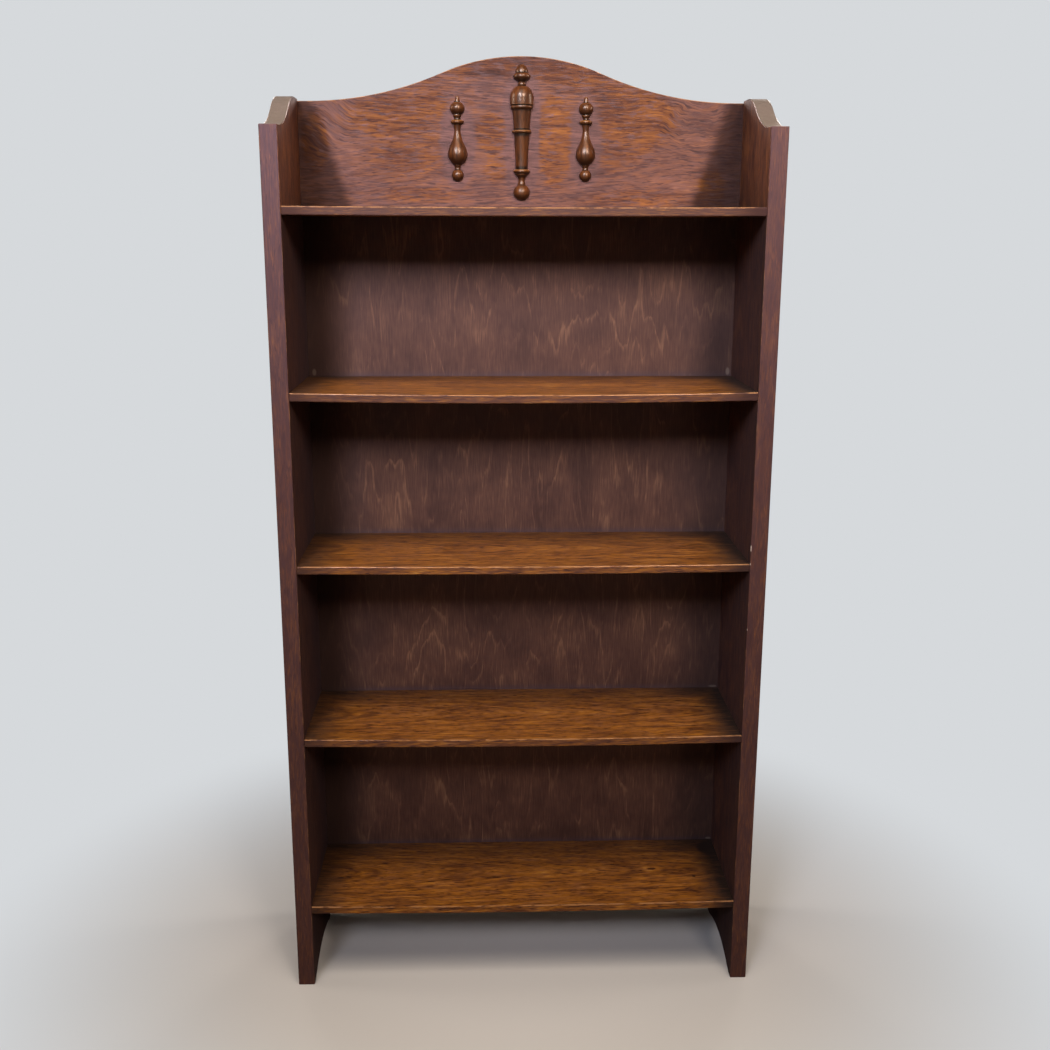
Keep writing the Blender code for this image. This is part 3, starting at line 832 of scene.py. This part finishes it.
def half_turning(node_name, shares):
    """A finer half turning in the place of a plain one, with its rims and grooves marked for the finish."""
    low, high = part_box(node_name)
    axis = (low.x + high.x) / 2
    profile = turning_profile(high.z - low.z, (high.x - low.x) / 2, shares)
    mesh = bpy.data.meshes.new(f"{node_name}_turned")
    edit = bmesh.new()
    proud = edit.verts.layers.float.new("proud")
    rings = []
    for point, out in zip(profile, proudness(profile)):
        angles = [math.pi * step / HALF_TURN_STEPS for step in range(HALF_TURN_STEPS + 1)]
        if point.x == 0:
            angles = angles[:1]
        ring = []
        for angle in angles:
            corner = (axis + point.x * math.cos(angle), high.y - point.x * math.sin(angle), high.z + point.y)
            ring.append(edit.verts.new(corner))
            ring[-1][proud] = out
        rings.append(ring)
    for upper, lower in zip(rings[:-1], rings[1:]):
        for step in range(HALF_TURN_STEPS):
            corners = lower[step:step + 2] if len(lower) > 1 else lower[:1]
            corners += upper[step:step + 2][::-1] if len(upper) > 1 else upper[:1]
            face = edit.faces.new(corners)
            face.smooth = True
        back = [upper[0], lower[0]]
        if len(lower) > 1:
            back.append(lower[-1])
        if len(upper) > 1:
            back.append(upper[-1])
        edit.faces.new(back)
    bmesh.ops.recalc_face_normals(edit, faces=edit.faces)
    edit.to_mesh(mesh)
    edit.free()
    mesh.set_sharp_from_angle(angle=SHARP_ANGLE)
    piece = bpy.data.objects.new(f"{node_name}_turned", mesh)
    bpy.context.scene.collection.objects.link(piece)
    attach(piece, "root")
    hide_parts(node_name)
    return piece


# Stain and rim of a turning, the near-black of its grooves and of the painted shade on its undersides, and
# the strong warm shine of its polish
TURNING_SHADES = (
    (0.00, "#190c06"),
    (0.30, "#3e1f0f"),
    (0.55, "#6c3a18"),
    (0.80, "#965b26"),
    (1.00, "#b47a3c"),
)
TURNING_RIM = "#a87038"
TURNING_GROOVE_AND_SHADE = "#0d0705"
TURNING_SHEEN = 0.9
TURNING_SHEEN_TINT = "#ffe4cc"
TURNING_PORE_ROUGHNESS = 0.40
TURNING_DENSE_ROUGHNESS = 0.26

# The figure of a turning, drawn coarser than life like that of the boards
TURNED_STREAK = Figure(22.0, 1.5, 3.0, 0.6, 0.3)
TURNED_BLOCK = Figure(24.0, 5.5, 2.0, 0.5)
TURNED_PORE = Figure(14.0, 1.7, 1.0, 0.5)
TURNED_PORES_SHOW = (0.52, 0.68)

# How strongly each part lightens or darkens the stain, and how high it stands in millimetres
TURNED_MEAN_TONE_SHARE = -0.04
TURNED_TONE_SHARES = {"streak": 0.38, "block": 0.62, "pores": -0.12, "rim": 0.14}
TURNED_HEIGHTS = {"pores": -0.04, "streak": 0.03}

# How proud a rim and how low a groove is where it starts to show and where it is full, how far down an
# underside looks where painted shade starts on it and where it is full, and how much of the stain each of
# them hides
RIM_SHOWS = (0.50, 0.95)
GROOVE_SHOWS = (-0.15, -0.60)
UNDERSIDE = (0.20, -0.65)
RIM_SHARE = 0.50
GROOVE_SHARE = 0.92
UNDERSIDE_SHARE = 0.90


def polished_turning(name, node_name):
    """Oak turned on a lathe, stained and polished.

    The thin rims are rubbed down to golden wood. Polish and dust have turned the grooves nearly black,
    where no cloth reaches, and the undersides are painted nearly black as shade. The round faces shine.
    """
    material, tree = new_material(name)
    low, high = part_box(node_name)
    grain = placed(tree, (low + high) / 2, "ZXY")[1]
    proud = add_node(tree, ATTRIBUTE, attribute_name="proud").outputs["Fac"]
    figure = {
        "streak": streaks(tree, grain, TURNED_STREAK),
        "block": streaks(tree, grain, TURNED_BLOCK),
        "pores": overlap(tree, (streaks(tree, grain, TURNED_PORE), TURNED_PORES_SHOW)),
        "rim": proud,
    }
    tone = add_shares(tree, TURNED_MEAN_TONE_SHARE, pick(figure, TURNED_TONE_SHARES))
    stain = add_node(tree, RAMP, {0: tone}, stops=TURNING_SHADES)
    rubbed = overlap(tree, (proud, RIM_SHOWS), RIM_SHARE)
    # Painted shade on the undersides
    under = overlap(tree, (facing_parts(tree)["Z"], UNDERSIDE), UNDERSIDE_SHARE)
    grooves = overlap(tree, (proud, GROOVE_SHOWS), GROOVE_SHARE)
    filled_and_shaded = add_node(tree, MATH, {0: under, 1: grooves}, operation="MAXIMUM")
    finish = coats(tree, stain, (rubbed, TURNING_RIM), (filled_and_shaded, TURNING_GROOVE_AND_SHADE))
    roughness = add_node(
        tree,
        RANGE,
        {
            "Value": figure["streak"],
            "To Min": TURNING_PORE_ROUGHNESS,
            "To Max": TURNING_DENSE_ROUGHNESS,
        },
    )
    height = add_shares(tree, 0.0, pick(figure, TURNED_HEIGHTS))
    waxed_surface(tree, finish, roughness, height, TURNING_SHEEN, TURNING_SHEEN_TINT)
    return material


def add_turnings():
    all_shares = (CENTRE_TURNING_SHARES, SIDE_TURNING_SHARES, SIDE_TURNING_SHARES)
    for node_name, shares in zip(TURNING_NAMES, all_shares):
        dress(half_turning(node_name, shares), polished_turning(f"polished_oak_{node_name}", node_name))


# Plywood back

# The figure of rotary-cut birch. Its fibres are drawn some times coarser than life so that they show. The
# flames have so many contours from their lowest value to their highest, and one more for each step in
# millimetres up the board, with edges that the fibres make ragged.
PLY_FLAME = Figure(330.0, 46.0, 3.0, 0.42)
PLY_FIBRE = Figure(26.0, 1.4, 2.0, 0.5)
PLY_BLOTCH = Figure(75.0, 55.0, 3.0, 0.6)
PLY_FAINT = Figure(48.0, 22.0, 2.0, 0.5)
PLY_CONTOURS = 9.0
PLY_FLAME_STEP = 115.0
PLY_RAGGED_SHARE = 0.035

# How bright the pale line is on the way from one contour to the next, and where along it the line shows
PLY_LINE_SHARES = (
    (0.00, "#000000"),
    (0.70, "#0c0c0c"),
    (0.93, "#ffffff"),
    (1.00, "#000000"),
)
PLY_LINES_SHOW = (0.35, 0.60)

# How strongly each part lightens or darkens the stain, and how high it stands in millimetres
PLY_MEAN_TONE_SHARE = -0.26
PLY_TONE_SHARES = {"blotch": 0.80, "fibre": 0.58, "contour": 0.12, "line": 0.23}
PLY_HEIGHTS = {"fibre": 0.04, "flame": 0.20}

# Stain, the tint of the light that its fibres throw back, and the darker bluish band above each shelf
PLY_SHADES = (
    (0.15, "#1e120e"),
    (0.40, "#38251e"),
    (0.60, "#4f3529"),
    (0.90, "#7a5840"),
)
PLY_SHEEN = 1.0
PLY_SHEEN_TINT = "#ffc8bc"
PLY_ROUGHNESS = 0.48
PLY_FOOT_BAND = "#332f3a"
PLY_FOOT_BAND_REACH = 11.0
PLY_BACK_FACE = (-0.1, 0.1)

# Painted shade on the plywood, standing in for the shadow of the sides, reaches this far from them, and lies
# thicker on the left
PLY_END_FROM = 100.0
PLY_END_TO = 10.0
PLY_END_SHADE_SHARE = 0.66
PLY_END_LEAN_SHARE = -0.24

# Chips in the lower corners of the plywood, along its grain and across the case
PLY_CHIPS = (
    Mark(945.0, -322.0, 7.0, 4.0, 0.20),
    Mark(946.0, 325.0, 8.0, 4.0, 0.42),
    Mark(419.0, 322.0, 2.6, 9.0, 0.32),
    Mark(139.0, 325.0, 2.6, 6.0, 0.42),
)
PLY_CHIP = "#94816f"
BARE_PLY_SHADES = (
    (0.20, "#7d5b38"),
    (0.50, "#a47e51"),
    (0.80, "#c09c6a"),
)


def stained_plywood():
    """Birch plywood, rotary cut, stained with the case and hardly waxed.

    The knife that peeled the log cut each ring at a slant, so the figure is tall flames edged with
    thin pale lines. A darker bluish band runs along the foot of each bay, and painted shade, thicker on
    the left, darkens the ends where the sides shade them. The back was left bare and has gone brown
    with age.
    """
    material, tree = new_material("stained_birch_plywood")
    axes, grain = placed(tree, Vector(), "ZXY")
    fibre = streaks(tree, grain, PLY_FIBRE)
    flame = streaks(tree, grain, PLY_FLAME)
    blotch = streaks(tree, grain, PLY_BLOTCH)
    ragged = add_shares(tree, flame, ((fibre, PLY_RAGGED_SHARE),))
    climb = overlap(tree, axes["Z"], 1 / PLY_FLAME_STEP)
    contours = add_shares(tree, climb, ((ragged, PLY_CONTOURS),))
    within = add_node(tree, MATH, {0: contours}, operation="FRACT")
    number = add_node(tree, MATH, {0: contours}, operation="FLOOR")
    line = add_node(tree, RAMP, {0: within}, stops=PLY_LINE_SHARES)
    figure = {
        "fibre": fibre,
        "flame": flame,
        "blotch": blotch,
        "contour": add_node(tree, WHITE_NOISE, {"W": number}, noise_dimensions="1D"),
        "line": overlap(tree, line, (streaks(tree, grain, PLY_FAINT), PLY_LINES_SHOW)),
    }
    tone = add_shares(tree, PLY_MEAN_TONE_SHARE, pick(figure, PLY_TONE_SHARES))
    from_shelf = None
    for low, high in SHELF_BOXES:
        here = away_from(tree, axes["Z"], high.z * MILLIMETRES)
        if from_shelf:
            here = add_node(tree, MATH, {0: from_shelf, 1: here}, operation="MINIMUM")
        from_shelf = here
    foot_band = overlap(tree, (from_shelf, (PLY_FOOT_BAND_REACH, 0.0)), blotch)
    at_end = leaning(tree, axes["X"], PLY_END_SHADE_SHARE, PLY_END_LEAN_SHARE)
    painted_shade = overlap(tree, (inside_sides(tree, axes["X"]), (PLY_END_FROM, PLY_END_TO)), at_end)
    to_back = overlap(tree, (facing_parts(tree)["Y"], PLY_BACK_FACE))
    finish = coats(
        tree,
        add_node(tree, RAMP, {0: tone}, stops=PLY_SHADES),
        (foot_band, PLY_FOOT_BAND),
        (painted_shade, SHADE_BROWN),
        (add_marks(tree, grain, PLY_CHIPS, 0.0), PLY_CHIP),
        (to_back, add_node(tree, RAMP, {0: tone}, stops=BARE_PLY_SHADES)),
    )
    dulling = ((to_back, BACK_DULLNESS_SHARE), (painted_shade, SHADE_DULLNESS_SHARE))
    dull = add_shares(tree, PLY_ROUGHNESS, dulling)
    height = add_shares(tree, 0.0, pick(figure, PLY_HEIGHTS))
    waxed_surface(tree, finish, dull, height, PLY_SHEEN, PLY_SHEEN_TINT)
    return material


# Steel pins

STEEL_MOTTLE = Figure(2.0, 2.0, 3.0, 0.6)
STEEL_SHADES = (
    (0.35, "#5e564d"),
    (0.65, "#96928b"),
)
TARNISHED_ROUGHNESS = 0.60
BRIGHT_ROUGHNESS = 0.35


def dull_steel():
    """Steel wire, drawn, cut and headed as pins.

    Age has dulled it in spots, so the heads are grey-brown and glint only here and there.
    """
    material, tree = new_material("dull_steel_pin")
    place = placed(tree, Vector(), "XYZ")[1]
    mottle = streaks(tree, place, STEEL_MOTTLE)
    shade = add_node(tree, RAMP, {0: mottle}, stops=STEEL_SHADES)
    roughness = add_node(
        tree, RANGE, {"Value": mottle, "To Min": TARNISHED_ROUGHNESS, "To Max": BRIGHT_ROUGHNESS}
    )
    shader = add_node(tree, PRINCIPLED, {"Base Color": shade, "Metallic": 1.0, "Roughness": roughness})
    add_node(tree, OUTPUT, {"Surface": shader})
    return material


def dress_back():
    dress(NODES["back_panel"], stained_plywood())
    steel = dull_steel()
    for name, node in NODES.items():
        if "_pin_" in name:
            dress(node, steel)


# Studio

# The camera stands where a fit to the corners of the case puts it, in metres and degrees. Its lens and
# sensor are in millimetres.
CAMERA_PLACE = (-0.053595, -1.798133, 1.163983)
CAMERA_TURN = (76.21188, -0.14469, -1.78967)
CAMERA_LENS = 41.4852
CAMERA_SENSOR = 36.0

# Sizes of the floor, the backdrop round it and the gap behind the case, in metres
FLOOR_MIDDLE = 0.4
FLOOR_RADIUS = 2.6
COVE_RADIUS = 1.2
COVE_STEPS = 16
WALL_HEIGHT = 4.0
PARTS_ROUND = 96
FLAG_GAP = 0.012

# How far from the middle of the floor a board starts to show the even colour and shows nothing else, in
# metres. The flag never does.
FLOOR_GLOW = (0.32, 1.0)
BACKDROP_GLOW = (0.0, 0.1)
FLAG_GLOW = (WALL_HEIGHT, WALL_HEIGHT * 2)

# How much of that even colour polished faces see
GLOSSY_GLOW_SHARE = 0.08
FLOOR_COLOUR = "#ece5dd"
CARPET_COLOUR = "#8f8376"
BACKDROP_COLOUR = "#d6d9dc"
AIR_COLOUR = "#efe3d6"
AIR_STRENGTH = 0.036

# Place, aim, width and height in metres, watts, spread in degrees and colour of each softbox
Softbox = namedtuple("Softbox", "name place aim width height watts spread code")
SOFTBOXES = (
    Softbox("window_left", (-0.98, -2.75, 2.62), (0, 0, 1.34), 0.7, 1.1, 7.8, 44, "#dce6fd"),
    Softbox("window_right", (0.98, -2.75, 2.62), (0, 0, 1.34), 0.7, 1.1, 5.0, 44, "#fbf0ea"),
    Softbox("ceiling", (0, -1.3, 2.75), (0, -1.0, 0), 2.4, 1.2, 12.0, 80, "#fff4e6"),
    Softbox("back_left", (-1.3, 2.5, 1.9), (0, 0.1, 1.0), 0.8, 1.2, 1.8, 40, "#fff8f0"),
    Softbox("back_right", (1.3, 2.5, 1.9), (0, 0.1, 1.0), 0.8, 1.2, 1.8, 40, "#fff8f0"),
    Softbox("flank_left", (-2.4, 0.35, 1.5), (0, 0.1, 0.9), 0.8, 1.2, 2.6, 40, "#fff8f0"),
    Softbox("flank_right", (2.4, 0.35, 1.5), (0, 0.1, 0.9), 0.8, 1.2, 2.6, 40, "#fff8f0"),
)


def add_camera():
    camera = bpy.data.cameras.new("camera")
    camera.lens = CAMERA_LENS
    camera.sensor_width = CAMERA_SENSOR
    stand = bpy.data.objects.new("camera", camera)
    stand.location = CAMERA_PLACE
    stand.rotation_euler = [math.radians(turn) for turn in CAMERA_TURN]
    bpy.context.scene.collection.objects.link(stand)
    bpy.context.scene.camera = stand


def ring_mesh(name, profile, with_middle):
    """A surface turned about Z from a profile of radius and height."""
    mesh = bpy.data.meshes.new(name)
    edit = bmesh.new()
    rings = []
    for radius, height in profile:
        ring = []
        for step in range(PARTS_ROUND):
            angle = 2 * math.pi * step / PARTS_ROUND
            ring.append(edit.verts.new((radius * math.cos(angle), radius * math.sin(angle), height)))
        rings.append(ring)
    if with_middle:
        edit.faces.new(rings[0])
    for inner, outer in zip(rings[:-1], rings[1:]):
        for step in range(PARTS_ROUND):
            after = (step + 1) % PARTS_ROUND
            edit.faces.new((inner[step], outer[step], outer[after], inner[after]))
    edit.to_mesh(mesh)
    edit.free()
    mesh.shade_smooth()
    piece = bpy.data.objects.new(name, mesh)
    bpy.context.scene.collection.objects.link(piece)
    return piece


def studio_material(name, code, bounce_code, glow):
    """Matt board, which far from the middle shows its own even colour to the camera.

    Polished faces see that colour dimly, as the far end of a room, so that no pale veil lies on the wax.
    What the board throws back on to the case has the colour of a carpet.
    """
    material, tree = new_material(name)
    path = add_node(tree, LIGHT_PATH).outputs
    shown = add_node(
        tree, MATH, {0: path["Is Camera Ray"], 1: path["Is Transmission Ray"]}, operation="MAXIMUM"
    )
    shown = add_shares(tree, shown, ((path["Is Glossy Ray"], GLOSSY_GLOW_SHARE),))
    seen = coats(tree, colour(bounce_code), (path["Is Camera Ray"], code))
    board = add_node(tree, DIFFUSE, {"Color": seen})
    light = add_node(tree, EMISSION, {"Color": colour(BACKDROP_COLOUR), "Strength": 1.0})
    place = add_node(tree, PLACE)
    out = add_node(tree, VECTOR_MATH, {0: place.outputs["Object"]}, operation="LENGTH")
    share = overlap(tree, (out.outputs["Value"], glow), shown)
    mixed = add_node(tree, MIX_SHADER, {0: share, 1: board, 2: light})
    add_node(tree, OUTPUT, {"Surface": mixed})
    return material


def add_studio():
    floor = ring_mesh("studio_floor", [(FLOOR_MIDDLE, 0.0), (FLOOR_RADIUS, 0.0)], True)
    dress(floor, studio_material("studio_floor_board", FLOOR_COLOUR, CARPET_COLOUR, FLOOR_GLOW))
    cove = [(FLOOR_RADIUS, 0.0)]
    for step in range(1, COVE_STEPS + 1):
        angle = math.pi / 2 * step / COVE_STEPS
        cove.append((FLOOR_RADIUS + COVE_RADIUS * math.sin(angle), COVE_RADIUS * (1 - math.cos(angle))))
    cove.append((FLOOR_RADIUS + COVE_RADIUS, WALL_HEIGHT))
    wall = ring_mesh("studio_backdrop", cove, False)
    wall.visible_diffuse = False
    wall.visible_shadow = False
    backdrop = studio_material("studio_backdrop_board", BACKDROP_COLOUR, BACKDROP_COLOUR, BACKDROP_GLOW)
    dress(wall, backdrop)


def add_flag():
    """A card behind the case that keeps the light from behind off the floor under it.

    It stands where a skirting board would, and the camera doesn't see it.
    """
    mesh = bpy.data.meshes.new("studio_flag")
    low, high = CAD_LOW, CAD_HIGH
    behind = high.y + FLAG_GAP
    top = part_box("back_panel")[0].z
    corners = [(low.x, behind, 0), (high.x, behind, 0), (high.x, behind, top), (low.x, behind, top)]
    mesh.from_pydata(corners, [], [(0, 1, 2, 3)])
    flag = bpy.data.objects.new("studio_flag", mesh)
    flag.visible_camera = False
    bpy.context.scene.collection.objects.link(flag)
    dress(flag, studio_material("studio_black_card", SHADE_BROWN, SHADE_BROWN, FLAG_GLOW))


def add_softboxes():
    for box in SOFTBOXES:
        light = bpy.data.lights.new(box.name, "AREA")
        light.shape = "RECTANGLE"
        light.size = box.width
        light.size_y = box.height
        light.energy = box.watts
        light.spread = math.radians(box.spread)
        light.color = colour(box.code)[:3]
        stand = bpy.data.objects.new(box.name, light)
        stand.location = box.place
        aim = Vector(box.aim) - Vector(box.place)
        stand.rotation_euler = aim.to_track_quat("-Z", "Y").to_euler()
        stand.visible_camera = False
        bpy.context.scene.collection.objects.link(stand)


def add_air():
    """Faint even light from the room all round."""
    world = bpy.data.worlds.new("studio_air")
    world.use_nodes = True
    background = world.node_tree.nodes["Background"]
    background.inputs["Color"].default_value = colour(AIR_COLOUR)
    background.inputs["Strength"].default_value = AIR_STRENGTH
    bpy.context.scene.world = world


add_camera()
dress_boards()
add_turnings()
dress_back()
add_studio()
add_flag()
add_softboxes()
add_air()
bpy.context.scene.view_settings.view_transform = "Standard"
